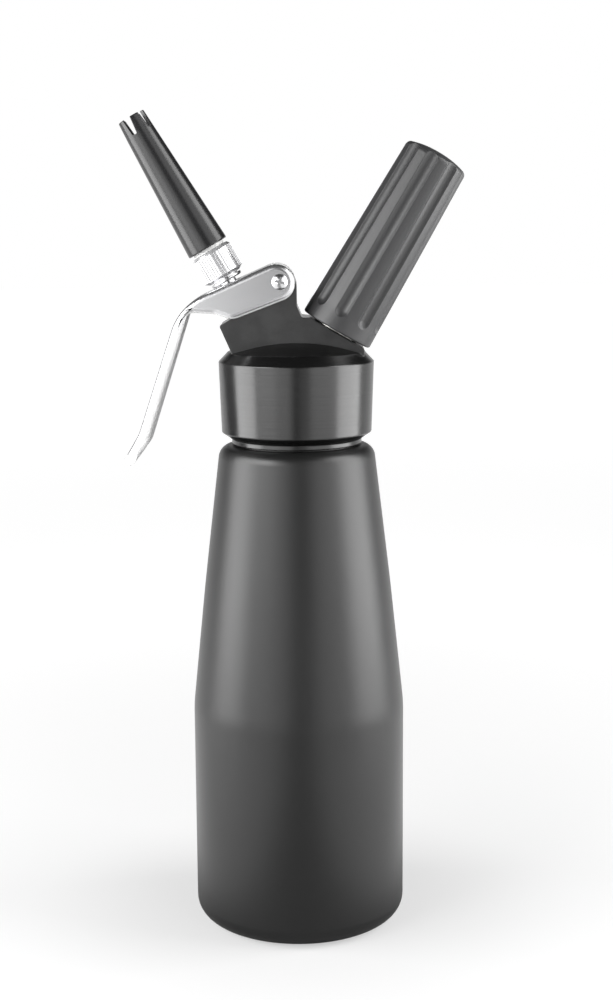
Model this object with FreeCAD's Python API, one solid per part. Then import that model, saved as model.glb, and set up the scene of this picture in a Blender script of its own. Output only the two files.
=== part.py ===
import FreeCAD, Part
import math
import os

# Whipped cream dispenser, one-litre class. Millimetres, +Z up, Z axis = bottle axis.
# +X is the charger side, -X is the lever and nozzle side, -Y is the front.

# ---------------------------------------------------------------- clearances
running_fit = 0.05
seat_gap = 0.05
lever_play = 0.3
thread_radial_gap = 0.5

# ---------------------------------------------------------------- bottle
bottle_radius = 45.0
bottle_wall = 1.6
bottle_floor = 2.4
base_edge_fillet = 8.0
base_dish_height = 3.5
base_dish_radius = 28.0
standing_ring_inner = 33.0
cylinder_top_z = 94.5
cylinder_blend = 60.0
cone_mid_radius = 39.35
cone_mid_z = 147.5
cone_blend = 600.0
shoulder_radius = 32.3
shoulder_z = 206.2
shoulder_fillet = 5.5
neck_root_radius = 24.6
neck_crest_radius = 26.0
neck_bead_height = 1.6
mouth_radius = 22.4
mouth_z = 231.9
mouth_edge_fillet = 0.9

# ---------------------------------------------------------------- neck thread
neck_pitch = 3.0
neck_thread_start = 217.4
neck_thread_turns = 3.7
thread_base_width = 1.5
thread_crest_width = 0.7
head_thread_turns = 3.6

# ---------------------------------------------------------------- head casting
collar_bottom_z = 206.8
skirt_radius = 27.2
skirt_top_z = 208.8
collar_low_radius = 31.4
collar_low_z = 211.7
collar_high_radius = 32.4
collar_high_z = 241.0
flange_radius = 28.6
flange_z = 245.0
dome_z = 249.6
gasket_thickness = 3.2
gasket_inner_radius = 22.2
gasket_outer_radius = 26.1
head_recess_radius = 18.0
head_recess_z = 238.0
dome_blend_radius = 60.0
boss_half_thickness = 11.65
boss_corner_fillet = 6.0
axes_cross_z = 225.4

# ---------------------------------------------------------------- valve branch (along its own axis)
valve_tilt = 30.0
valve_boss_radius = 11.65
valve_boss_top = 42.5
valve_chamber_radius = 6.6
valve_chamber_floor = 9.0
seat_plane = 20.0
seat_bore_radius = 4.2
seal_bore_radius = 6.0
seal_bore_bottom = 26.0
spring_floor = 31.0
spring_cavity_radius = 7.6
stem_radius = 3.6
stem_waist_radius = 2.7
stem_passage_radius = 1.7
stem_top = 67.0
crown_radius = 7.0
crown_thickness = 2.4
crown_dome_radius = 12.0
spring_wire = 1.2
spring_mean_radius = 6.1
spring_turns = 5.5
stem_collar_bottom = 56.4
stem_collar_height = 1.3
stem_collar_radius = 6.85
adapter_bottom = 58.2
adapter_radius = 9.1
adapter_low_chamfer = 1.3
adapter_top = 70.6
adapter_high_chamfer = 1.3
adapter_spigot_top = 79.0
adapter_spigot_radius = 4.7
adapter_passage_radius = 2.6
knurl_count = 48
knurl_depth = 0.28
tip_pitch = 2.0
tip_thread_height = 0.8
tip_washer_height = 1.35
tip_washer_radius = 6.8

# ---------------------------------------------------------------- decorator tip
tip_bottom = 72.05
tip_length = 61.0
tip_low_radius = 8.85
tip_high_radius = 5.9
tip_wall = 1.5
tip_socket_depth = 9.0
prong_count = 5
prong_slit_depth = 7.2
prong_slit_low = 2.0
prong_slit_high = 3.7
prong_slit_corner = 0.5
prong_slit_phase = -17.0

# ---------------------------------------------------------------- lever
pivot_x = -6.4
pivot_z = 274.2
plate_slope = 23.6
lever_sheet = 1.5
lever_inner_half = 12.2
lever_stroke_degrees = 9.0
cheek_end_radius = 7.8
lever_bend_radius = 25.0
handle_corner_along = 41.5
kick_corner_x = -65.2
kick_corner_z = 212.0
kick_radius = 14.0
handle_end_x = -71.9
handle_end_z = 200.7
handle_lip_x = -70.4
handle_lip_z = 197.1
flange_end_x = -67.2
flange_end_z = 200.1
flange_kick_x = -61.5
flange_kick_z = 207.4
flange_corner_x = -43.9
flange_corner_z = 261.8
cheek_bridge_x = -33.5
cheek_bridge_z = 261.3
cheek_belly_x = -25.8
cheek_belly_z = 258.8
cheek_heel_x = 2.0
cheek_heel_z = 269.3
handle_end_rounding = 9.0
sheet_bend_radius = 2.2
plate_end_along = 1.5
stem_slot_along = 19.1
stem_slot_gap = 0.9
stem_slot_length = 1.6
cheek_end_reach = 6.4
lug_radius = 5.8
lug_corner_radius = 7.5
notch_x = 2.4
notch_z = 259.7
pivot_barrel_radius = 3.0
pivot_head_radius = 3.2
pivot_head_height = 1.7
pivot_head_rim = 0.5
cross_recess_length = 4.0
cross_recess_width = 0.9
cross_recess_depth = 0.9
cross_recess_turn = 15.0
pivot_thread_radius = 1.9
pivot_washer_radius = 5.2

# ---------------------------------------------------------------- charging branch (along its own axis)
charge_tilt = 30.5
charge_boss_radius = 13.65
charge_boss_top = 32.4
charge_passage_radius = 2.6
port_bore_radius = 7.0
port_bore_floor = 20.0
stud_radius = 9.6
stud_top = 50.4
stud_thread_start = 36.5
stud_pitch = 2.0
stud_thread_turns = 5.5
stud_thread_height = 0.9
neck_recess_radius = 5.4
neck_recess_floor = 41.5
port_seal_height = 2.4
pin_radius = 1.1
pin_bore_radius = 0.5

# ---------------------------------------------------------------- charger and holder
charger_radius = 9.15
charger_length = 65.5
charger_neck_radius = 4.3
charger_neck_length = 7.2
charger_wall = 1.6
holder_bottom = 33.1
holder_length = 81.0
holder_low_radius = 15.7
holder_high_radius = 13.8
holder_bore_radius = 9.85
insert_outer_radius = 13.0
insert_bottom = 34.3
insert_length = 14.8
flute_count = 9
flute_width = 5.9
flute_depth = 1.4
flute_low_gap = 5.9
flute_phase = -9.7
holder_crown = 2.2
holder_shoulder = 2.2
pad_height = 1.7


def vec(x, y, z):
    return FreeCAD.Vector(x, y, z)


# A closed outline in the XZ plane; each corner is (x, z, corner radius).
def outline(corners):
    count = len(corners)
    starts = []
    ends = []
    mids = []
    for i in range(count):
        here = vec(corners[i][0], 0, corners[i][1])
        radius = corners[i][2]
        back = vec(corners[i - 1][0], 0, corners[i - 1][1]) - here
        ahead = vec(corners[(i + 1) % count][0], 0, corners[(i + 1) % count][1]) - here
        back.normalize()
        ahead.normalize()
        half = 0.5 * math.acos(max(-1.0, min(1.0, back.dot(ahead))))
        if radius <= 0:
            starts.append(here)
            ends.append(here)
            mids.append(None)
            continue
        reach = radius / math.tan(half)
        middle = back + ahead
        middle.normalize()
        starts.append(here + back * reach)
        ends.append(here + ahead * reach)
        mids.append(here + middle * (radius / math.sin(half) - radius))
    edges = []
    for i in range(count):
        if mids[i] is not None:
            edges.append(Part.Arc(starts[i], mids[i], ends[i]).toShape())
        following = starts[(i + 1) % count]
        if (following - ends[i]).Length > 1e-6:
            edges.append(Part.makeLine(ends[i], following))
    return Part.Wire(edges)


def turned(corners):
    return Part.Face(outline(corners)).revolve(vec(0, 0, 0), vec(0, 0, 1), 360)


def slab(corners, half_width):
    face = Part.Face(outline(corners))
    face.translate(vec(0, -half_width, 0))
    return face.extrude(vec(0, 2 * half_width, 0))


def rod(radius, low, high):
    return Part.makeCylinder(radius, high - low, vec(0, 0, low))


def ring(inner, outer, low, high):
    return rod(outer, low, high).cut(rod(inner, low - 1, high + 1))


# A rod along the lever pivot, from one depth to another.
def across(radius, low, high):
    return Part.makeCylinder(radius, high - low, vec(pivot_x, low, pivot_z), vec(0, 1, 0))


def on_valve_axis(shape):
    copy = shape.copy()
    copy.rotate(vec(0, 0, 0), vec(0, 1, 0), -valve_tilt)
    copy.translate(vec(0, 0, axes_cross_z))
    return copy


def on_charge_axis(shape):
    copy = shape.copy()
    copy.rotate(vec(0, 0, 0), vec(0, 1, 0), charge_tilt)
    copy.translate(vec(0, 0, axes_cross_z))
    return copy


def from_valve_axis(across, along):
    angle = math.radians(valve_tilt)
    x = across * math.cos(angle) - along * math.sin(angle)
    z = axes_cross_z + across * math.sin(angle) + along * math.cos(angle)
    return x, z


def from_charge_axis(across, along):
    angle = math.radians(charge_tilt)
    x = across * math.cos(angle) + along * math.sin(angle)
    z = axes_cross_z - across * math.sin(angle) + along * math.cos(angle)
    return x, z


# A right-handed helical ridge, wide at its base radius and narrow at its crest radius.
def thread_ridge(base, crest, pitch, turns, start):
    spine = Part.Wire(Part.makeHelix(pitch, pitch * turns, base).Edges)
    wide = pitch * thread_base_width / neck_pitch / 2
    narrow = pitch * thread_crest_width / neck_pitch / 2
    corners = [(base, -wide, 0), (crest, -narrow, 0), (crest, narrow, 0), (base, wide, 0)]
    solid = spine.makePipeShell([outline(corners)], True, True)
    solid = Part.Solid(solid)
    if solid.Volume < 0:
        solid.reverse()
    solid.translate(vec(0, 0, start))
    return solid


# A round-wire spring: half turns that each lean by half a pitch, so that they meet end to end.
def coil(mean_radius, wire, low, high, turns):
    pitch = (high - low - wire) / turns
    lean = math.atan(pitch / (4 * mean_radius))
    reach = mean_radius / math.cos(lean)
    section = Part.Face(Part.Wire(Part.makeCircle(wire / 2, vec(reach, 0, 0), vec(0, 1, 0))))
    halves = []
    for i in range(round(2 * turns)):
        half = section.revolve(vec(0, 0, 0), vec(0, 0, 1), 180)
        half.rotate(vec(0, 0, 0), vec(0, 0, 1), 180 * (i % 2))
        half.rotate(vec(0, 0, 0), vec(0, 1, 0), math.degrees(lean) * (-1) ** i)
        half.translate(vec(0, 0, low + wire / 2 + pitch * (i + 0.5) / 2))
        halves.append(half)
    return halves[0].fuse(halves[1:])


# ------------------------------------------------------------------ bottle
def make_bottle():
    outside = [
        (0, base_dish_height, 0),
        (base_dish_radius, base_dish_height, 3.0),
        (standing_ring_inner - 1.5, 0, 1.5),
        (bottle_radius, 0, base_edge_fillet),
        (bottle_radius, cylinder_top_z, cylinder_blend),
        (cone_mid_radius, cone_mid_z, cone_blend),
        (shoulder_radius, shoulder_z, shoulder_fillet),
        (neck_root_radius + 0.9, shoulder_z, 0),
        (neck_root_radius + 0.9, shoulder_z + neck_bead_height, 0.5),
        (neck_root_radius, shoulder_z + neck_bead_height + 0.9, 0.5),
        (neck_root_radius, mouth_z, mouth_edge_fillet),
        (mouth_radius, mouth_z, mouth_edge_fillet),
        (mouth_radius, shoulder_z - 4.5, 4.0),
        (shoulder_radius - bottle_wall - 0.6, shoulder_z - 6.0, 5.0),
        (cone_mid_radius - bottle_wall, cone_mid_z, cone_blend),
        (bottle_radius - bottle_wall, cylinder_top_z, cylinder_blend),
        (bottle_radius - bottle_wall, bottle_floor, base_edge_fillet - bottle_wall),
        (standing_ring_inner - 1.5, bottle_floor, 1.5),
        (base_dish_radius, base_dish_height + bottle_floor, 3.0),
        (0, base_dish_height + bottle_floor, 0),
    ]
    body = turned(outside)
    ridge = thread_ridge(neck_root_radius - 0.2, neck_crest_radius, neck_pitch, neck_thread_turns, neck_thread_start)
    return body.fuse(ridge)


# ------------------------------------------------------------------ head
gasket_seat_z = mouth_z + seat_gap + gasket_thickness
collar_bore_radius = neck_crest_radius + thread_radial_gap
head_crest_radius = neck_root_radius + thread_radial_gap


def make_gasket():
    low = mouth_z + seat_gap
    return turned([
        (gasket_inner_radius, low, 0.6),
        (gasket_outer_radius, low, 0.6),
        (gasket_outer_radius, gasket_seat_z - seat_gap, 0.6),
        (gasket_inner_radius, gasket_seat_z - seat_gap, 0.6),
    ])


def collar_shape():
    dome_corner = flange_radius * 0.45
    outside = turned([
        (0, collar_bottom_z, 0),
        (skirt_radius, collar_bottom_z, 0.3),
        (skirt_radius, skirt_top_z, 0.3),
        (collar_low_radius, collar_low_z, 0.6),
        (collar_high_radius, collar_high_z, 0.6),
        (flange_radius, flange_z, 0.8),
        (dome_corner, dome_z, dome_blend_radius),
        (0, dome_z, 0),
    ])
    bore = turned([
        (0, collar_bottom_z - 1, 0),
        (collar_bore_radius, collar_bottom_z - 1, 0),
        (collar_bore_radius, gasket_seat_z, 0.8),
        (head_recess_radius, gasket_seat_z, 0.8),
        (head_recess_radius, head_recess_z, 1.2),
        (0, head_recess_z, 0),
    ])
    return outside, bore


# The web that carries both branches and the lever lug, one flat-sided cast block.
def boss_outline():
    slope = math.radians(plate_slope + lever_stroke_degrees)
    along_x = -math.cos(slope)
    along_z = -math.sin(slope)
    top_x = pivot_x - lug_radius * math.sin(slope)
    top_z = pivot_z + lug_radius * math.cos(slope)
    lug_right = pivot_x + lug_radius + 0.9
    rise = (top_x - lug_right) / along_x
    left_top = from_valve_axis(-valve_boss_radius, valve_boss_top)
    left_foot = from_valve_axis(-valve_boss_radius, 33.0)
    lug_foot = from_valve_axis(9.4, valve_boss_top)
    reach = (lug_foot[0] - top_x) / along_x
    right_top = from_charge_axis(charge_boss_radius, charge_boss_top)
    seat_left = from_charge_axis(-charge_boss_radius + 2.0, charge_boss_top)
    return [
        (-flange_radius + 3.0, head_recess_z + 3.0, 0),
        (-flange_radius + 2.4, left_foot[1] - 3.5, 5.0),
        (left_top[0], left_top[1], 0.8),
        (lug_foot[0], lug_foot[1], 1.5),
        (lug_foot[0] - 1.2, top_z + along_z * (reach + 1.4), 1.5),
        (lug_right, top_z - along_z * rise, lug_corner_radius),
        (lug_right + 0.2, notch_z + 4.6, 1.5),
        (notch_x, notch_z, 0.8),
        (seat_left[0], seat_left[1], 0.5),
        (right_top[0], right_top[1], 0.8),
        (flange_radius - 0.6, flange_z - 1.2, 0),
        (flange_radius - 6.0, head_recess_z + 3.0, 0),
    ]


def long_side_edges(shape, low_x, high_x, low_z, high_z, half):
    picked = []
    for edge in shape.Edges:
        box = edge.BoundBox
        flat = box.YLength < 1e-4 and abs(abs(box.YMin) - half) < 1e-3
        inside = low_x < box.Center.x < high_x and low_z < box.Center.z < high_z
        if flat and inside:
            picked.append(edge)
    return picked


def boss_shape():
    block = slab(boss_outline(), boss_half_thickness)
    foot = head_recess_z - 2.0
    sides = long_side_edges(
        block, -flange_radius - 7.4, -flange_radius + 4.6, foot, flange_z + 11.2, boss_half_thickness)
    sides += long_side_edges(
        block, flange_radius - 2.6, flange_radius + 5.4, foot, flange_z + 1.4, boss_half_thickness)
    try:
        block = block.makeFillet(boss_corner_fillet, sides)
    except Exception:
        FreeCAD.Console.PrintWarning("boss corners left square\n")
    return block


def make_head():
    outside, bore = collar_shape()
    boss = boss_shape()
    head = outside.fuse(boss).removeSplitter()
    head = head.cut(bore)
    valve_bores = rod(valve_chamber_radius, valve_chamber_floor, seat_plane)
    valve_bores = valve_bores.fuse(rod(seat_bore_radius, seat_plane - 1, seal_bore_bottom + 1))
    valve_bores = valve_bores.fuse(rod(seal_bore_radius, seal_bore_bottom, valve_boss_top + 1))
    valve_bores = valve_bores.fuse(rod(spring_cavity_radius, spring_floor, valve_boss_top + 12))
    head = head.cut(on_valve_axis(valve_bores))
    charge_bores = rod(charge_passage_radius, valve_chamber_floor, port_bore_floor + 1)
    charge_bores = charge_bores.fuse(rod(port_bore_radius, port_bore_floor, charge_boss_top + 1))
    head = head.cut(on_charge_axis(charge_bores))
    pivot_hole = Part.makeCylinder(
        pivot_barrel_radius + running_fit, 4 * boss_half_thickness,
        vec(pivot_x, -2 * boss_half_thickness, pivot_z), vec(0, 1, 0))
    head = head.cut(pivot_hole)
    start = neck_thread_start + neck_pitch / 2
    ridge = thread_ridge(collar_bore_radius + 0.2, head_crest_radius, neck_pitch, head_thread_turns, start)
    return head.fuse(ridge)


# ------------------------------------------------------------------ valve
crown_centre = (pivot_z - axes_cross_z) * math.cos(math.radians(valve_tilt))
crown_centre -= pivot_x * math.sin(math.radians(valve_tilt))
pivot_across = pivot_x * math.cos(math.radians(valve_tilt))
pivot_across += (pivot_z - axes_cross_z) * math.sin(math.radians(valve_tilt))
plate_rest = math.radians(valve_tilt - plate_slope)
plate_under = cheek_end_radius - lever_sheet
crown_centre += pivot_across * math.tan(plate_rest) + plate_under / math.cos(plate_rest)
crown_centre -= (crown_dome_radius + lever_play) / math.cos(plate_rest)
crown_top = crown_centre + crown_dome_radius
crown_edge = crown_centre + math.sqrt(crown_dome_radius ** 2 - crown_radius ** 2)
crown_bottom = crown_edge - crown_thickness


def make_stem():
    stem = rod(stem_radius, seal_bore_bottom - 1.0, stem_top)
    stem = stem.fuse(rod(stem_waist_radius, seat_plane - 5.2, seal_bore_bottom))
    stem = stem.fuse(turned([
        (0, seat_plane - 6.4, 0),
        (4.4, seat_plane - 6.4, 0.3),
        (4.4, seat_plane - 5.2, 0.3),
        (0, seat_plane - 5.2, 0),
    ]))
    dome = rod(crown_radius, crown_bottom, crown_top + 1)
    dome = dome.common(Part.makeSphere(crown_dome_radius, vec(0, 0, crown_centre)))
    dome = dome.fuse(rod(crown_radius, crown_bottom, crown_edge - 0.01))
    stem = stem.fuse(dome)
    stem = stem.cut(rod(stem_passage_radius, seat_plane + 1.2, stem_top + 1))
    for angle in (0, 90):
        hole = Part.makeCylinder(0.9, 12, vec(-6, 0, seat_plane + 3.2), vec(1, 0, 0))
        hole.rotate(vec(0, 0, 0), vec(0, 0, 1), angle)
        stem = stem.cut(hole)
    return on_valve_axis(stem.removeSplitter())


# The rubber seal under the seat, a washer with a bevelled shoulder.
def make_valve_seal():
    low = seat_plane - 5.15
    return on_valve_axis(turned([
        (stem_waist_radius + running_fit, low, 0),
        (5.6, low, 0.4),
        (5.6, seat_plane - 1.2, 0.4),
        (4.6, seat_plane - seat_gap, 0.3),
        (stem_waist_radius + running_fit, seat_plane - seat_gap, 0),
    ]))


def make_stem_oring():
    section = (seal_bore_radius - stem_radius) / 2 - running_fit / 2
    middle = (seal_bore_radius + stem_radius) / 2
    body = Part.makeTorus(middle, section, vec(0, 0, seal_bore_bottom + section + 0.2))
    return on_valve_axis(body)


# The guide bush sits over the stem seal and is the floor the spring stands on.
def make_valve_guide():
    low = seal_bore_bottom + 2.8
    body = ring(stem_radius + running_fit, seal_bore_radius - 0.02, low, spring_floor + 0.5)
    cap = ring(stem_radius + running_fit, spring_cavity_radius - 0.05, spring_floor + 0.02, spring_floor + 1.2)
    return on_valve_axis(body.fuse(cap))


def make_valve_spring():
    low = spring_floor + 1.25
    return on_valve_axis(coil(spring_mean_radius, spring_wire, low, crown_bottom - 0.05, spring_turns))


def make_stem_collar():
    top = stem_collar_bottom + stem_collar_height
    return on_valve_axis(turned([
        (stem_radius + running_fit, stem_collar_bottom, 0),
        (stem_collar_radius - 0.6, stem_collar_bottom, 0.2),
        (stem_collar_radius, stem_collar_bottom + 0.5, 0.2),
        (stem_collar_radius, top, 0.3),
        (stem_radius + running_fit, top, 0),
    ]))


def make_adapter():
    flat = adapter_top - adapter_high_chamfer
    body = turned([
        (stem_radius + running_fit, adapter_bottom - 0.45, 0),
        (5.6, adapter_bottom - 0.45, 0),
        (5.6, adapter_bottom, 0),
        (adapter_radius - 2.2, adapter_bottom, 0.3),
        (adapter_radius, adapter_bottom + adapter_low_chamfer, 0.3),
        (adapter_radius, flat, 0.3),
        (adapter_radius - 1.2, adapter_top, 0.3),
        (adapter_spigot_radius, adapter_top, 0),
        (adapter_spigot_radius, adapter_spigot_top, 0.6),
        (adapter_passage_radius, adapter_spigot_top, 0.3),
        (adapter_passage_radius, stem_top + 0.3, 0),
        (stem_radius + running_fit, stem_top + 0.3, 0),
    ])
    grooves = []
    for i in range(knurl_count):
        turn = 360.0 * i / knurl_count
        cutter = Part.makeBox(0.9, 0.9, 9.6, vec(-0.45, -0.45, 0))
        cutter.rotate(vec(0, 0, 0), vec(0, 0, 1), 45)
        cutter.translate(vec(adapter_radius + 0.6364 - knurl_depth, 0, adapter_bottom + adapter_low_chamfer + 0.2))
        cutter.rotate(vec(0, 0, 0), vec(0, 0, 1), turn)
        grooves.append(cutter)
    body = body.cut(grooves)
    start = tip_bottom + 1.6
    crest = adapter_spigot_radius + tip_thread_height
    body = body.fuse(thread_ridge(adapter_spigot_radius - 0.15, crest, tip_pitch, 2.2, start))
    return on_valve_axis(body)


def make_tip_washer():
    low = adapter_top + seat_gap
    inner = adapter_spigot_radius + tip_thread_height + 0.25
    return on_valve_axis(ring(inner, tip_washer_radius, low, tip_bottom - seat_gap))


# ------------------------------------------------------------------ decorator tip
def make_decorator_tip():
    top = tip_bottom + tip_length
    taper = (tip_low_radius - tip_high_radius) / tip_length
    socket = adapter_spigot_radius + tip_thread_height + 0.35
    socket_top = tip_bottom + tip_socket_depth
    inner_low = tip_low_radius - taper * tip_socket_depth - tip_wall - 0.9
    outside = turned([
        (socket, tip_bottom, 0.3),
        (tip_low_radius, tip_bottom, 0.5),
        (tip_high_radius, top, 0.4),
        (tip_high_radius - tip_wall, top, 0.3),
        (tip_high_radius - tip_wall + taper * 12, top - 12, 0),
        (inner_low, socket_top + 4, 1.0),
        (socket, socket_top, 0),
    ])
    start = tip_bottom + 1.6 + tip_pitch / 2
    crest = adapter_spigot_radius + 0.35
    body = outside.fuse(thread_ridge(socket + 0.15, crest, tip_pitch, 2.2, start))
    for i in range(prong_count):
        face = Part.Face(outline([
            (-prong_slit_low / 2, top - prong_slit_depth, prong_slit_corner),
            (prong_slit_low / 2, top - prong_slit_depth, prong_slit_corner),
            (prong_slit_high / 2, top + 1, 0),
            (-prong_slit_high / 2, top + 1, 0),
        ]))
        slit = face.extrude(vec(0, 12, 0))
        slit.rotate(vec(0, 0, 0), vec(0, 0, 1), 180 + prong_slit_phase + 360.0 * i / prong_count)
        body = body.cut(slit)
    return on_valve_axis(body)


# ------------------------------------------------------------------ lever
lever_outer_half = lever_inner_half + lever_sheet


def lever_point(along, above):
    angle = math.radians(plate_slope)
    x = pivot_x - along * math.cos(angle) - above * math.sin(angle)
    z = pivot_z - along * math.sin(angle) + above * math.cos(angle)
    return x, z


# The corner point of a path moved to its right by the inset, on the bisector.
def inset_corner(before, here, after, inset):
    first = vec(here[0] - before[0], 0, here[1] - before[1]).normalize()
    second = vec(after[0] - here[0], 0, after[1] - here[1]).normalize()
    first_side = vec(-first.z, 0, first.x)
    second_side = vec(-second.z, 0, second.x)
    share = inset / (1 + first_side.dot(second_side))
    moved = (first_side + second_side) * share
    return here[0] + moved.x, here[1] + moved.z


handle_corner = lever_point(handle_corner_along, cheek_end_radius)
kick_corner = (kick_corner_x, kick_corner_z)
handle_end = (handle_end_x, handle_end_z)


# The side view of the lever: top plate, handle back, kicked-out end, flange edge, belly, cheek end.
def lever_outline():
    top_right = lever_point(-cheek_end_reach, cheek_end_radius)
    return [
        (top_right[0], top_right[1], cheek_end_radius - 0.3),
        (handle_corner[0], handle_corner[1], lever_bend_radius),
        (kick_corner[0], kick_corner[1], kick_radius),
        (handle_end[0], handle_end[1], 2.0),
        (handle_lip_x, handle_lip_z, 0.8),
        (flange_end_x, flange_end_z, 0.8),
        (flange_kick_x, flange_kick_z, 9.0),
        (flange_corner_x, flange_corner_z, 2.6),
        (cheek_bridge_x, cheek_bridge_z, 5.0),
        (cheek_belly_x, cheek_belly_z, 7.0),
        (cheek_heel_x, cheek_heel_z, cheek_end_radius - 0.5),
    ]


# The space between the cheeks, open underneath and over the pivot.
def lever_inside():
    plate_end = lever_point(plate_end_along, cheek_end_radius + 4)
    plate_foot = lever_point(plate_end_along, cheek_end_radius - lever_sheet)
    start = lever_point(-cheek_end_radius, cheek_end_radius)
    corner = inset_corner(start, handle_corner, kick_corner, lever_sheet)
    kick = inset_corner(handle_corner, kick_corner, handle_end, lever_sheet)
    back = vec(kick_corner[0] - handle_end[0], 0, kick_corner[1] - handle_end[1]).normalize()
    end_x = handle_end[0] + back.x * 3.1 * lever_sheet + back.z * lever_sheet
    end_z = handle_end[1] + back.z * 3.1 * lever_sheet - back.x * lever_sheet
    away = lever_point(-cheek_end_radius - 4, cheek_end_radius + 4)
    under = lever_point(-cheek_end_radius - 4, -30)
    return [
        (away[0], away[1], 0),
        (plate_end[0], plate_end[1], 0),
        (plate_foot[0], plate_foot[1], 0),
        (corner[0], corner[1], lever_bend_radius - lever_sheet),
        (kick[0], kick[1], kick_radius + lever_sheet),
        (end_x, end_z, 0),
        (end_x + 14 * back.z, end_z - 14 * back.x, 0),
        (kick_corner[0] + 24, kick_corner[1] - 2, 0),
        (under[0], under[1], 0),
    ]


# What a square end loses when both its corners are rounded, in the plane of the handle's end.
def end_rounding(half, radius, inset):
    reach = 16
    pair = []
    for side in (-1, 1):
        block = Part.makeBox(radius + 8, radius + 8, 2 * reach, vec(inset - 8, half - radius, -reach))
        block = block.cut(Part.makeCylinder(radius, 2 * reach, vec(inset + radius, half - radius, -reach)))
        keep = Part.makeBox(2 * radius + 8, radius + 8, 2 * reach, vec(inset + radius, half - radius, -reach))
        block = block.cut(keep)
        if side < 0:
            block = block.mirror(vec(0, 0, 0), vec(0, 1, 0))
        pair.append(block)
    both = pair[0].fuse(pair[1])
    lean = math.degrees(math.atan2(kick_corner_z - handle_end_z, kick_corner_x - handle_end_x))
    both.rotate(vec(0, 0, 0), vec(0, 1, 0), -lean)
    both.translate(vec(handle_end_x, 0, handle_end_z))
    return both


def outer_bend_edges(shape):
    picked = []
    path = [lever_point(-cheek_end_radius, cheek_end_radius), handle_corner, kick_corner, handle_end]
    lines = [Part.makeLine(vec(p[0], 0, p[1]), vec(q[0], 0, q[1])) for p, q in zip(path, path[1:])]
    low_x = handle_end_x - 3.0
    high_z = pivot_z + cheek_end_radius + 3.0
    for edge in long_side_edges(shape, low_x, pivot_x + 2.4, handle_end_z - 0.7, high_z, lever_outer_half):
        middle = edge.valueAt((edge.FirstParameter + edge.LastParameter) / 2)
        spot = Part.Vertex(middle.x, 0, middle.z)
        if min(line.distToShape(spot)[0] for line in lines) < 2.6:
            picked.append(edge)
    return picked


def make_lever():
    body = slab(lever_outline(), lever_outer_half)
    edges = outer_bend_edges(body)
    body = body.makeFillet(sheet_bend_radius, edges)
    body = body.cut(end_rounding(lever_outer_half, handle_end_rounding, -1.2))
    inside = slab(lever_inside(), lever_inner_half)
    inside = inside.cut(end_rounding(lever_inner_half, handle_end_rounding - lever_sheet, 3.1 * lever_sheet))
    body = body.cut(inside)
    slot = rod(stem_radius + stem_slot_gap, 0, 12)
    far = slot.copy()
    far.translate(vec(stem_slot_length, 0, 0))
    bridge = Part.makeBox(
        stem_slot_length, 2 * (stem_radius + stem_slot_gap), 12, vec(0, -stem_radius - stem_slot_gap, 0))
    slot = slot.fuse(far).fuse(bridge)
    slot.rotate(vec(0, 0, 0), vec(0, 1, 0), -plate_slope)
    middle = lever_point(stem_slot_along + stem_slot_length / 2, 0)
    slot.translate(vec(middle[0], 0, middle[1]))
    body = body.cut(slot)
    return body.cut(across(pivot_barrel_radius + running_fit, -2 * lever_outer_half, 2 * lever_outer_half))


# ------------------------------------------------------------------ charging side
def make_charging_port():
    body = turned([
        (pin_radius + running_fit, port_bore_floor + 5.0, 0),
        (4.2, port_bore_floor + 5.0, 0),
        (4.2, port_bore_floor + 0.1, 0),
        (port_bore_radius - running_fit, port_bore_floor + 0.1, 0),
        (port_bore_radius - running_fit, charge_boss_top + 0.05, 0),
        (stud_radius + 0.4, charge_boss_top + 0.05, 0.3),
        (stud_radius + 0.4, charge_boss_top + 1.6, 0.3),
        (stud_radius - 0.9, charge_boss_top + 2.6, 0.3),
        (stud_radius, charge_boss_top + 3.6, 0),
        (stud_radius, stud_top, 0.8),
        (neck_recess_radius + 0.6, stud_top, 0.5),
        (neck_recess_radius, stud_top - 1.6, 0),
        (neck_recess_radius, neck_recess_floor, 0),
        (pin_radius + running_fit, neck_recess_floor, 0),
    ])
    crest = stud_radius + stud_thread_height
    ridge = thread_ridge(stud_radius - 0.2, crest, stud_pitch, stud_thread_turns, stud_thread_start)
    return on_charge_axis(body.fuse(ridge))


def make_piercing_pin():
    low = port_bore_floor + 3.6
    tip = neck_recess_floor + port_seal_height + 4.2
    body = turned([
        (pin_bore_radius, low, 0),
        (2.6, low, 0.2),
        (2.6, low + 1.3, 0.2),
        (pin_radius, low + 1.3, 0),
        (pin_radius, tip - 1.8, 0),
        (pin_bore_radius + 0.1, tip, 0),
        (pin_bore_radius, tip, 0),
    ])
    slash = Part.makeBox(6, 6, 4, vec(-3, -3, 0))
    slash.rotate(vec(0, 0, 0), vec(0, 1, 0), 35)
    slash.translate(vec(0, 0, tip - 0.9))
    return on_charge_axis(body.cut(slash))


def make_port_seal():
    low = neck_recess_floor + seat_gap
    return on_charge_axis(turned([
        (pin_radius + 0.1, low, 0.3),
        (neck_recess_radius - 0.1, low, 0.3),
        (neck_recess_radius - 0.1, low + port_seal_height - 0.1, 0.5),
        (pin_radius + 0.1, low + port_seal_height - 0.1, 0.3),
    ]))


# The non-return valve under the pin: a rubber poppet on a light spring over a screwed ring.
def make_check_poppet():
    top = port_bore_floor + 3.5
    return on_charge_axis(turned([
        (0, top - 1.6, 0),
        (3.2, top - 1.6, 0.3),
        (3.2, top - 0.3, 0.4),
        (0.8, top, 0.3),
        (0, top, 0),
    ]))


def make_check_ring():
    low = valve_chamber_floor + 9.6
    return on_charge_axis(ring(0.9, charge_passage_radius - 0.02, low, port_bore_floor + 0.2))


def make_check_spring():
    return on_charge_axis(coil(1.7, 0.4, port_bore_floor + 0.25, port_bore_floor + 1.85, 2.5))


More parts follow.
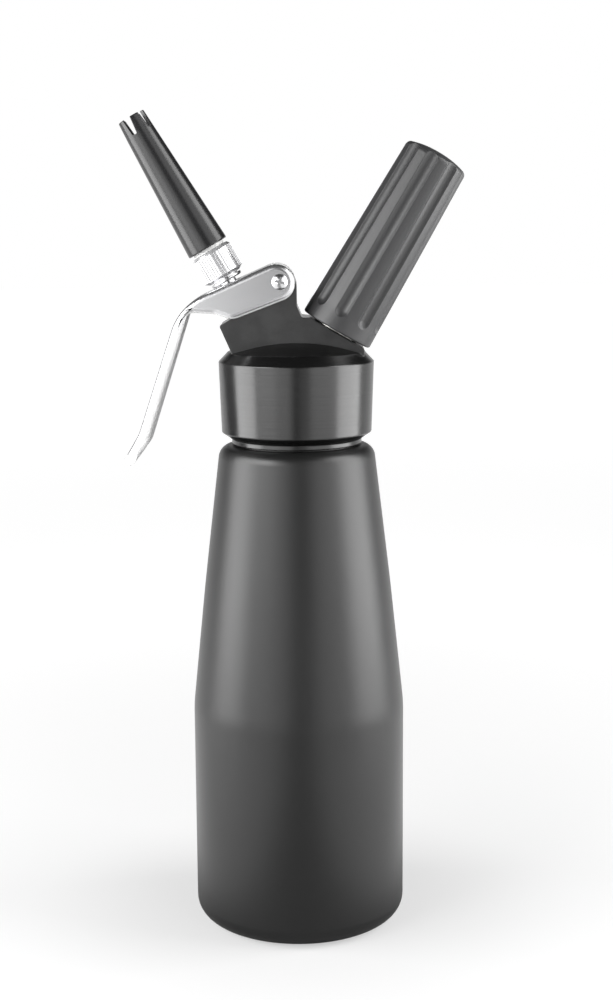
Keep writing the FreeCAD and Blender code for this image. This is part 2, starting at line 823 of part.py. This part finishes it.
charger_neck_end = neck_recess_floor + port_seal_height + 2 * seat_gap
charger_base = charger_neck_end + charger_length


def make_gas_charger():
    shoulder = charger_neck_end + charger_neck_length
    pierced = pin_radius + 0.15
    body = turned([
        (pierced, charger_neck_end, 0),
        (charger_neck_radius, charger_neck_end, 0.8),
        (charger_neck_radius, charger_neck_end + 2.2, 0.4),
        (charger_neck_radius - 0.5, charger_neck_end + 2.7, 0.4),
        (charger_neck_radius - 0.5, shoulder - 0.6, 1.5),
        (charger_radius, shoulder + 6.4, 6.0),
        (charger_radius, charger_base, charger_radius - 0.6),
        (0, charger_base, 0),
        (0, charger_base - charger_wall, 0),
        (charger_radius - charger_wall, charger_base - charger_wall, charger_radius - charger_wall - 0.6),
        (charger_radius - charger_wall, shoulder + 7.0, 5.0),
        (charger_neck_radius - 1.6, shoulder + 1.0, 1.0),
        (charger_neck_radius - 1.6, charger_neck_end + 1.0, 0),
        (pierced, charger_neck_end + 1.0, 0),
    ])
    return on_charge_axis(body)


def make_charger_holder():
    top = holder_bottom + holder_length
    body = turned([
        (insert_outer_radius + 0.6, holder_bottom, 0.4),
        (holder_low_radius, holder_bottom, 0.9),
        (holder_high_radius, top, holder_shoulder),
        (holder_high_radius / 2, top + holder_crown, 2.5 * holder_high_radius),
        (0, top + holder_crown, 0),
        (0, charger_base + pad_height + 0.1, 0),
        (holder_bore_radius, charger_base + pad_height + 0.1, 1.5),
        (holder_bore_radius, insert_bottom + insert_length + 0.1, 0),
        (insert_outer_radius + running_fit, insert_bottom + insert_length + 0.1, 0),
        (insert_outer_radius + running_fit, holder_bottom + 0.6, 0),
    ])
    low = holder_bottom + flute_low_gap
    lean = math.degrees(math.atan((holder_low_radius - holder_high_radius) / holder_length))
    sink = (flute_width ** 2 / 4 + flute_depth ** 2) / (2 * flute_depth)
    for i in range(flute_count):
        cutter = rod(sink, low + flute_width / 2, top + 2 * holder_crown)
        cutter = cutter.fuse(Part.makeSphere(sink, vec(0, 0, low + flute_width / 2)))
        middle = (low + top) / 2
        radius = holder_low_radius + (holder_high_radius - holder_low_radius) * (middle - holder_bottom) / holder_length
        cutter.translate(vec(0, 0, -middle))
        cutter.rotate(vec(0, 0, 0), vec(0, 1, 0), -lean)
        cutter.translate(vec(radius + sink - flute_depth, 0, middle))
        cutter.rotate(vec(0, 0, 0), vec(0, 0, 1), -90 + flute_phase + 360.0 * i / flute_count)
        body = body.cut(cutter)
    return on_charge_axis(body)


def make_holder_insert():
    bore = stud_radius + stud_thread_height + 0.4
    body = ring(bore, insert_outer_radius, insert_bottom, insert_bottom + insert_length)
    crest = stud_radius + 0.4
    start = stud_thread_start + stud_pitch / 2
    ridge = thread_ridge(bore + 0.2, crest, stud_pitch, stud_thread_turns - 0.6, start)
    return on_charge_axis(body.fuse(ridge))


def make_holder_pad():
    low = charger_base + seat_gap
    return on_charge_axis(rod(5.5, low, low + pad_height))


# ------------------------------------------------------------------ pivot
def make_pivot_barrel():
    outer = lever_outer_half + 0.1
    body = across(pivot_barrel_radius, -outer + 0.05, outer)
    head = across(pivot_head_radius + 0.5, outer, outer + 1.2)
    head = head.makeFillet(0.6, [e for e in head.Edges if e.BoundBox.YMin > outer + 1.1])
    body = body.fuse(head)
    return body.cut(across(pivot_thread_radius, -outer - 1, outer - 6))


def make_pivot_screw():
    outer = lever_outer_half + 0.1
    shank = across(pivot_thread_radius - running_fit, -outer, outer - 7)
    rise = pivot_head_height - pivot_head_rim
    ball = (pivot_head_radius ** 2 + rise ** 2) / (2 * rise)
    head = across(pivot_head_radius, -outer - pivot_head_height, -outer)
    dome = Part.makeSphere(ball, vec(pivot_x, -outer - pivot_head_height + ball, pivot_z))
    head = head.common(dome)
    for angle in (cross_recess_turn, cross_recess_turn + 90):
        slot = Part.makeBox(
            cross_recess_length, 2 * cross_recess_depth, cross_recess_width,
            vec(-cross_recess_length / 2, -cross_recess_depth, -cross_recess_width / 2))
        slot.translate(vec(pivot_x, -outer - pivot_head_height, pivot_z))
        slot.rotate(vec(pivot_x, 0, pivot_z), vec(0, 1, 0), angle)
        head = head.cut(slot)
    return head.fuse(shank)


def make_pivot_washer(side):
    low = boss_half_thickness + 0.02
    high = lever_inner_half - 0.08
    body = across(pivot_washer_radius, low, high).cut(across(pivot_barrel_radius + running_fit, low - 1, high + 1))
    if side < 0:
        body = body.mirror(vec(0, 0, 0), vec(0, 1, 0))
    return body


os.makedirs("parts", exist_ok=True)
make_bottle().exportStep("parts/bottle.step")
make_gasket().exportStep("parts/head_gasket.step")
make_head().exportStep("parts/head.step")
make_stem().exportStep("parts/valve_stem.step")
make_valve_seal().exportStep("parts/valve_seal.step")
make_stem_oring().exportStep("parts/stem_oring.step")
make_valve_guide().exportStep("parts/valve_guide.step")
make_valve_spring().exportStep("parts/valve_spring.step")
make_stem_collar().exportStep("parts/stem_collar.step")
make_adapter().exportStep("parts/adapter.step")
make_tip_washer().exportStep("parts/tip_washer.step")
make_decorator_tip().exportStep("parts/decorator_tip.step")
make_lever().exportStep("parts/lever.step")
make_pivot_barrel().exportStep("parts/pivot_barrel.step")
make_pivot_screw().exportStep("parts/pivot_screw.step")
make_pivot_washer(-1).exportStep("parts/pivot_washer_front.step")
make_pivot_washer(1).exportStep("parts/pivot_washer_back.step")
make_charging_port().exportStep("parts/charging_port.step")
make_piercing_pin().exportStep("parts/piercing_pin.step")
make_port_seal().exportStep("parts/port_seal.step")
make_check_poppet().exportStep("parts/check_poppet.step")
make_check_ring().exportStep("parts/check_ring.step")
make_check_spring().exportStep("parts/check_spring.step")
make_gas_charger().exportStep("parts/gas_charger.step")
make_charger_holder().exportStep("parts/charger_holder.step")
make_holder_insert().exportStep("parts/holder_insert.step")
make_holder_pad().exportStep("parts/holder_pad.step")
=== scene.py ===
import bpy
import math
from mathutils import Matrix

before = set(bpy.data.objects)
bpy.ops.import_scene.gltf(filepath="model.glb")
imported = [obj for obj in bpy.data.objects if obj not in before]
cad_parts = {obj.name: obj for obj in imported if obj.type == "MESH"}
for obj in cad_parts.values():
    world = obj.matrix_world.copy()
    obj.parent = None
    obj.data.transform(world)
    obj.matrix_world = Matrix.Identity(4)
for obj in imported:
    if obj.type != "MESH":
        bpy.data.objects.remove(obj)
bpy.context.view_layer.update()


# ---------------------------------------------------------------- studio
# The dispenser stands on a pale floor in a white room with a dark ceiling. Tall soft lights stand on
# both sides of it, strong ones beside it and weak ones in front, with a dark gap between the two
# front ones, so each dark round piece shows two broad sheens and a dark line down its middle.

class Field:
    """One value or colour of a finish, joined to others with plain arithmetic."""

    def __init__(self, tree, socket):
        self.tree = tree
        self.socket = socket

    def join(self, operation, first, second=0.0):
        node = self.tree.nodes.new("ShaderNodeMath")
        node.operation = operation
        for entry, value in zip(node.inputs, (first, second)):
            if isinstance(value, Field):
                self.tree.links.new(value.socket, entry)
            else:
                entry.default_value = value
        return Field(self.tree, node.outputs[0])

    def __add__(self, other):
        return self.join("ADD", self, other)

    def __sub__(self, other):
        return self.join("SUBTRACT", self, other)

    def __rsub__(self, other):
        return self.join("SUBTRACT", other, self)

    def __mul__(self, other):
        return self.join("MULTIPLY", self, other)

    def __pow__(self, other):
        return self.join("POWER", self, other)

    __radd__ = __add__
    __rmul__ = __mul__

    def within(self, low, high):
        """0 below low, 1 above high, and smooth between."""
        node = self.tree.nodes.new("ShaderNodeMapRange")
        node.interpolation_type = "SMOOTHSTEP"
        self.tree.links.new(self.socket, node.inputs["Value"])
        node.inputs["From Min"].default_value = low
        node.inputs["From Max"].default_value = high
        return Field(self.tree, node.outputs[0])


class Nodes:
    """Adds nodes to a tree, each in one call."""

    def __init__(self, tree):
        self.tree = tree

    def node(self, kind, output=0, settings=None, **values):
        """Values go by the socket's name, or by its number after an i where names repeat."""
        node = self.tree.nodes.new("ShaderNode" + kind)
        for name, value in (settings or {}).items():
            setattr(node, name, value)
        for name, value in values.items():
            entry = node.inputs[int(name[1:]) if name[1:].isdigit() else name.replace("_", " ")]
            if isinstance(value, Field):
                self.tree.links.new(value.socket, entry)
            else:
                entry.default_value = value
        return Field(self.tree, node.outputs[output])

    def part(self, axis, vector):
        return self.node("SeparateXYZ", output=axis, Vector=vector)

    def spot(self):
        return self.node("TexCoord", output="Object")

    def ray(self, kind):
        return self.node("LightPath", output="Is %s Ray" % kind)

    def blend(self, share, first, second):
        colours = {"data_type": "RGBA"}
        return self.node("Mix", output=2, settings=colours, Factor=share, i6=first, i7=second)

    def link(self, field, entry):
        self.tree.links.new(field.socket, entry)

    def seen_directly(self):
        """1 for what is seen straight, in a gloss or through glass, and 0 for the light it gives."""
        seen = self.ray("Camera")
        seen = seen.join("MAXIMUM", seen, self.ray("Glossy"))
        return seen.join("MAXIMUM", seen, self.ray("Transmission"))


def grey(value, blue=0.0):
    return (value, value, value + blue, 1)


def build_room():
    room = bpy.data.worlds.new("room")
    bpy.context.scene.world = room
    room.use_nodes = True
    nodes = Nodes(room.node_tree)
    toward = nodes.node("TexCoord", output="Generated")
    wall = nodes.part("Y", toward).within(0.5, 0.9) * (1 - nodes.part("Z", toward).within(0.05, 0.35))
    gloss = nodes.blend(wall, grey(0.01), grey(0.9))
    colour = nodes.blend(nodes.seen_directly(), grey(0.05), gloss)
    colour = nodes.blend(nodes.ray("Camera"), colour, grey(1))
    nodes.link(colour, room.node_tree.nodes["Background"].inputs["Color"])


def lay_floor():
    bpy.ops.mesh.primitive_plane_add(size=12, location=(0, 0, -0.0002))
    floor = bpy.context.object
    floor.name = "floor"
    material = bpy.data.materials.new("floor_pale")
    material.use_nodes = True
    nodes = Nodes(material.node_tree)
    shader = material.node_tree.nodes["Principled BSDF"]
    shader.inputs["Base Color"].default_value = grey(0.3)
    shader.inputs["Roughness"].default_value = 0.9
    shader.inputs["Specular IOR Level"].default_value = 0.1
    shader.inputs["Emission Strength"].default_value = 1.0
    spot = nodes.spot()
    far = nodes.node("VectorMath", output="Value", settings={"operation": "LENGTH"}, i0=spot)
    # Less glow within a few centimetres of the foot paints a soft shadow round it.
    painted_foot_shadow = far.within(0.04, 0.13) * 0.09
    wide_shade = far.within(0.05, 0.7) * 0.31
    horizon = far.within(0.6, 2.0) * 0.09
    lift = 0.51 + painted_foot_shadow + wide_shade + horizon
    # In glosses only, the floor glows behind and beside the dispenser: a painted reflection that lights
    # nothing.
    behind = nodes.part("Y", spot).within(0.0, 0.5)
    aside = nodes.part("X", spot)
    aside = (aside * aside).within(0.0012, 0.01)
    painted_reflection_glow = behind.join("MAXIMUM", behind, aside) * 0.85
    straight = nodes.ray("Camera")
    glow = straight * lift + (nodes.seen_directly() - straight) * painted_reflection_glow
    nodes.link(nodes.node("CombineColor", i0=glow, i1=glow, i2=glow), shader.inputs["Emission Color"])
    floor.data.materials.append(material)


def hang_softbox(name, turn, distance, foot, width, height, power):
    """A soft box facing the dispenser, turned round it from the front by degrees, and at a distance
    from it. Its foot is that high above the floor, in metres, and its power is in watts."""
    lamp = bpy.data.lights.new(name, "AREA")
    lamp.shape = "RECTANGLE"
    lamp.size = width
    lamp.size_y = height
    lamp.energy = power
    stand = bpy.data.objects.new(name, lamp)
    bpy.context.scene.collection.objects.link(stand)
    angle = math.radians(turn)
    stand.location = (distance * math.sin(angle), -distance * math.cos(angle), foot + height / 2)
    stand.rotation_euler = (math.radians(90), 0, angle)
    stand.visible_camera = False


def set_camera(place, downward, roll, lens):
    """A camera that looks along +Y, tipped down and rolled by degrees."""
    camera = bpy.data.objects.new("camera", bpy.data.cameras.new("camera"))
    bpy.context.scene.collection.objects.link(camera)
    camera.data.lens = lens
    camera.data.sensor_width = 36.0
    camera.data.sensor_fit = "AUTO"
    camera.data.clip_start = 0.02
    tilt = Matrix.Rotation(math.radians(90 - downward), 4, "X")
    camera.matrix_world = Matrix.Translation(place) @ tilt @ Matrix.Rotation(math.radians(roll), 4, "Z")
    bpy.context.scene.camera = camera


bpy.context.scene.view_settings.view_transform = "Standard"
build_room()
lay_floor()
hang_softbox("key_left", -80.5, 0.5, 0.03, 0.335, 0.62, 3.7)
hang_softbox("key_left_high", -48.5, 0.6, 0.36, 0.288, 0.39, 2.5)
hang_softbox("key_right", 84, 0.5, 0.03, 0.404, 0.85, 6.0)
hang_softbox("fill_left", -44, 0.8, 0.03, 0.4, 0.7, 2.1)
hang_softbox("fill_left_front", -19, 0.8, 0.03, 0.311, 0.7, 1.0)
hang_softbox("fill_right", 40, 0.8, 0.03, 0.582, 1.0, 2.9)
set_camera(place=(0.00389, -0.699, 0.303), downward=9.82, roll=-0.39, lens=60.37)


# ---------------------------------------------------------------- bottle
# The bottle is drawn from aluminium, necked in at its top, and coated matte black all over. The
# coating has a fine even grain, with a slightly cloudy sheen where it lies thicker.

class Finish(Nodes):
    """A metal, plastic or rubber finish, with its pattern laid along the piece's own axis."""

    def __init__(self, name, place=(0, 0, 0), turn=(0, 0, 0), **constants):
        self.material = bpy.data.materials.new(name)
        self.material.use_nodes = True
        super().__init__(self.material.node_tree)
        self.shader = self.tree.nodes["Principled BSDF"]
        for socket, value in constants.items():
            self.shader.inputs[socket.replace("_", " ")].default_value = value
        self.place = self.node(
            "Mapping", settings={"vector_type": "TEXTURE"}, Location=place,
            Rotation=tuple(math.radians(angle) for angle in turn), Vector=self.spot())

    def grain(self, scale, detail=2.0, stretch=(1, 1, 1)):
        vector = self.node("VectorMath", settings={"operation": "MULTIPLY"}, i0=self.place, i1=stretch)
        return self.node("TexNoise", Vector=vector, Scale=scale, Detail=detail)

    def rings(self, scale, detail=3.0):
        """Turning marks: rings round the piece's own axis, on its side and on its end alike."""
        x, y, z = (self.part(axis, self.place) for axis in "XYZ")
        radius = (x * x + y * y) ** 0.5
        vector = self.node("CombineXYZ", X=x * 4.0, Y=y * 4.0, Z=(z + radius) * scale)
        return self.node("TexNoise", Vector=vector, Scale=1.0, Detail=detail)

    def colour(self, field):
        self.link(field, self.shader.inputs["Base Color"])

    def roughness(self, field):
        self.link(field, self.shader.inputs["Roughness"])

    def metal(self, field):
        self.link(field, self.shader.inputs["Metallic"])

    def relief(self, field, depth, edge=0.0):
        """Raises the pattern by depth, and softens the piece's sharp edges to a radius of edge."""
        bump = self.tree.nodes.new("ShaderNodeBump")
        bump.inputs["Distance"].default_value = depth
        bump.inputs["Strength"].default_value = 1.0
        self.link(field, bump.inputs["Height"])
        if edge:
            self.link(self.node("Bevel", settings={"samples": 8}, Radius=edge), bump.inputs["Normal"])
        self.tree.links.new(bump.outputs[0], self.shader.inputs["Normal"])

    def cover(self, *names):
        for name in names:
            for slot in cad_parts[name].material_slots:
                slot.material = self.material


coating = Finish("bottle_matte_black", Specular_IOR_Level=0.59)
cloud = coating.grain(28.0, 3.0)
grit = coating.grain(4200.0)
coating.colour(coating.blend(cloud, grey(0.005), grey(0.008)))
coating.roughness(0.31 + cloud * 0.05 + grit * 0.04)
coating.relief(grit, 0.00003)
coating.cover("bottle")


# ---------------------------------------------------------------- head gasket
# A flat ring of pale moulded silicone lies in the head's collar and seals on the bottle's rim.
silicone = Finish("gasket_silicone", Roughness=0.5)
silicone.colour(silicone.blend(silicone.grain(200.0), grey(0.62, -0.02), grey(0.7, -0.02)))
silicone.cover("head_gasket")


# ---------------------------------------------------------------- head
# The head is one aluminium casting. Its collar and flange are turned, which leaves fine rings. The
# two flat sides of the boss are blasted dull, a little unevenly, and all of it is anodised black.
boss_low = 0.2432
anodise = Finish("head_satin_black", Specular_IOR_Level=0.6)
casting = anodise.grain(900.0, 3.0)
marks = anodise.rings(1300.0, 4.0)
outward = anodise.part("Y", anodise.node("NewGeometry", output="Normal"))
boss = anodise.part("Z", anodise.place).within(boss_low, boss_low + 0.0004)
boss = boss * (outward * outward).within(0.5, 0.8)
turned = anodise.blend(marks, grey(0.001), grey(0.008))
cast_skin = anodise.grain(110.0, 5.0)
blasted = anodise.blend(cast_skin.within(0.3, 0.7) * 0.7 + casting * 0.3, grey(0.008), grey(0.024))
anodise.colour(anodise.blend(boss, turned, blasted))
anodise.roughness(0.14 + marks * 0.16 + casting * 0.03 + boss * (0.10 + cast_skin * 0.08))
anodise.relief(marks, 0.00005, 0.0006)
anodise.cover("head")


# ---------------------------------------------------------------- valve
# A hollow turned steel stem slides in the head. A rubber seal on its lower end shuts the valve, and
# a rubber ring above it, held by a brass bush, keeps the cream in. A wire spring lifts the stem.
valve_foot = (0, 0, 0.2254)
valve_turn = (0, -30, 0)


def turned_metal(name, place, turn, dark, light, smoothest):
    finish = Finish(name, place, turn, Metallic=1.0)
    marks = finish.rings(3000.0)
    finish.colour(finish.blend(marks, dark, light))
    finish.roughness(smoothest + marks * 0.10)
    return finish


rubber = Finish("seal_rubber", Roughness=0.6)
rubber.colour(rubber.blend(rubber.grain(300.0), grey(0.02), grey(0.035)))
rubber.cover("valve_seal", "stem_oring")

steel_dark = grey(0.62, 0.01)
steel_light = grey(0.80, 0.01)
stem_steel = turned_metal("turned_steel", valve_foot, valve_turn, steel_dark, steel_light, 0.18)
stem_steel.cover("valve_stem")

brass_dark = (0.60, 0.46, 0.22, 1)
brass_light = (0.72, 0.56, 0.29, 1)
brass = turned_metal("turned_brass", valve_foot, valve_turn, brass_dark, brass_light, 0.22)
brass.cover("valve_guide")

wire = Finish("spring_wire", Metallic=1.0)
draw_marks = wire.grain(900.0)
wire.colour(wire.blend(draw_marks, grey(0.45, 0.01), grey(0.62, 0.01)))
wire.roughness(0.25 + draw_marks * 0.1)
wire.cover("valve_spring")


# ---------------------------------------------------------------- lever
# The lever is pressed from one stainless sheet into a channel, and polished on its outside only, so
# its inside and the handle's two rims are dull. These are also painted near-white, which is painted
# light on faces that lie in shade. Fine polishing lines run along its plate.
pivot = (-0.0064, 0, 0.2742)
cheek_middle = 0.0132
cheek_band = 0.0002
handle_foot = 0.250
handle_top = 0.262
sheet = Finish("lever_polished_steel", pivot, (0, -23.6, 0))
polish_lines = sheet.grain(1.0, 3.0, (150, 4000, 4000))
facing = sheet.node("NewGeometry", output="Normal")
sideways = sheet.part("Y", facing)
across = sheet.part("Y", sheet.place)
# Mask for painted light: the channel's inward faces, and below them the handle's two rims.
painted_pale_inside = (sheet.part("X", facing) - sheet.part("Z", facing) + sideways * sideways).within(0.3, 0.6)
outside = (across * across).within((cheek_middle - cheek_band) ** 2, (cheek_middle + cheek_band) ** 2)
painted_pale_inside = painted_pale_inside * (1 - outside)
handle = 1 - sheet.part("Z", sheet.spot()).within(handle_foot, handle_top)
painted_pale_rim = handle * (sideways * sideways).within(0.3, 0.6)
painted_pale_inside = painted_pale_inside.join("MAXIMUM", painted_pale_inside, painted_pale_rim)
polished = sheet.blend(polish_lines, grey(0.60, 0.01), grey(0.68, 0.01))
# The masked faces get near-white paint in place of steel: painted light in the channel's shade.
sheet.colour(sheet.blend(painted_pale_inside, polished, grey(0.93)))
sheet.roughness(0.22 + polish_lines * 0.05 + painted_pale_inside * 0.2)
sheet.metal(0.92 - painted_pale_inside * 0.8)
sheet.relief(polish_lines, 0.00000015, 0.0002)
sheet.cover("lever")


# ---------------------------------------------------------------- lever pivot
# A steel barrel goes through the lever and the head's lug, with a thin white plastic washer under
# each cheek. A bright cross-headed screw closes it from the front.
pivot_turn = (90, 0, 0)
barrel = turned_metal("pivot_steel", pivot, pivot_turn, steel_dark, steel_light, 0.18)
barrel.cover("pivot_barrel")

screw = Finish("screw_bright", pivot, pivot_turn, Metallic=0.95)
stroke = screw.grain(2500.0)
screw.colour(screw.blend(stroke, grey(0.60, 0.01), grey(0.70, 0.01)))
screw.roughness(0.18 + stroke * 0.06)
screw.cover("pivot_screw")

white = Finish("washer_white", valve_foot, valve_turn)
tone = white.grain(400.0)
white.colour(white.blend(tone, grey(0.78, -0.01), grey(0.86, -0.01)))
white.roughness(0.4 + tone * 0.1)
white.cover("pivot_washer_front", "pivot_washer_back")


# ---------------------------------------------------------------- stem collar and adapter
# A turned steel collar on the stem takes the push of the lever's plate. The adapter above it is
# straight-knurled and plated bright, and has the thread that the decorator tip screws onto.
stem_steel.cover("stem_collar")

plating = Finish("adapter_bright", valve_foot, valve_turn, Metallic=0.72)
buffing = plating.rings(2500.0)
plating.colour(plating.blend(buffing, grey(0.80, 0.01), grey(0.88, 0.01)))
plating.roughness(0.14 + buffing * 0.08)
plating.cover("adapter")


# ---------------------------------------------------------------- decorator tip
# The tip is moulded from satin black plastic, slit into prongs at its end. A white plastic ring lies
# between it and the adapter.
white.cover("tip_washer")

moulding = Finish("tip_satin_black", valve_foot, valve_turn, Specular_IOR_Level=0.5)
flow = moulding.grain(260.0, 3.0, (1, 1, 0.3))
moulding.colour(moulding.blend(flow, grey(0.012), grey(0.018, 0.001)))
moulding.roughness(0.22 + flow * 0.06)
moulding.relief(flow, 0.000004, 0.0003)
moulding.cover("decorator_tip")


# ---------------------------------------------------------------- charging port
# The port is a nickel-plated brass stud screwed into the head. A steel pin stands in it, inside a
# rubber seal, and under it a rubber poppet with its own spring lies in a brass ring.
charge_turn = (0, 30.5, 0)
nickel = turned_metal("nickel_plate", valve_foot, charge_turn, grey(0.60, -0.03), grey(0.70, -0.03), 0.2)
nickel.cover("charging_port")

pin_steel = turned_metal("pin_steel", valve_foot, charge_turn, steel_dark, steel_light, 0.18)
pin_steel.cover("piercing_pin")

rubber.cover("port_seal", "check_poppet")
wire.cover("check_spring")
brass.cover("check_ring")


# ---------------------------------------------------------------- charger and holder
# The charger is a plain drawn steel cartridge. The holder round it is moulded from dark grey plastic
# with a sparked texture and long flutes, and has a threaded brass insert and a soft pad inside.
cartridge = Finish("charger_steel", valve_foot, charge_turn, Metallic=1.0)
zinc = cartridge.grain(120.0, 4.0)
cartridge.colour(cartridge.blend(zinc, grey(0.50, 0.01), grey(0.62, 0.01)))
cartridge.roughness(0.28 + zinc * 0.15)
cartridge.cover("gas_charger")

nickel.cover("holder_insert")

pad = Finish("pad_grey", Roughness=0.8)
pad.colour(pad.blend(pad.grain(800.0), grey(0.10), grey(0.2)))
pad.cover("holder_pad")

sleeve = Finish("holder_matte_plastic", valve_foot, charge_turn, Specular_IOR_Level=0.5)
spark = sleeve.grain(2600.0, 3.0)
sleeve.colour(sleeve.blend(spark, grey(0.028, 0.001), grey(0.042, 0.001)))
sleeve.roughness(0.34 + spark * 0.12)
sleeve.relief(spark, 0.000025, 0.0005)
sleeve.cover("charger_holder")
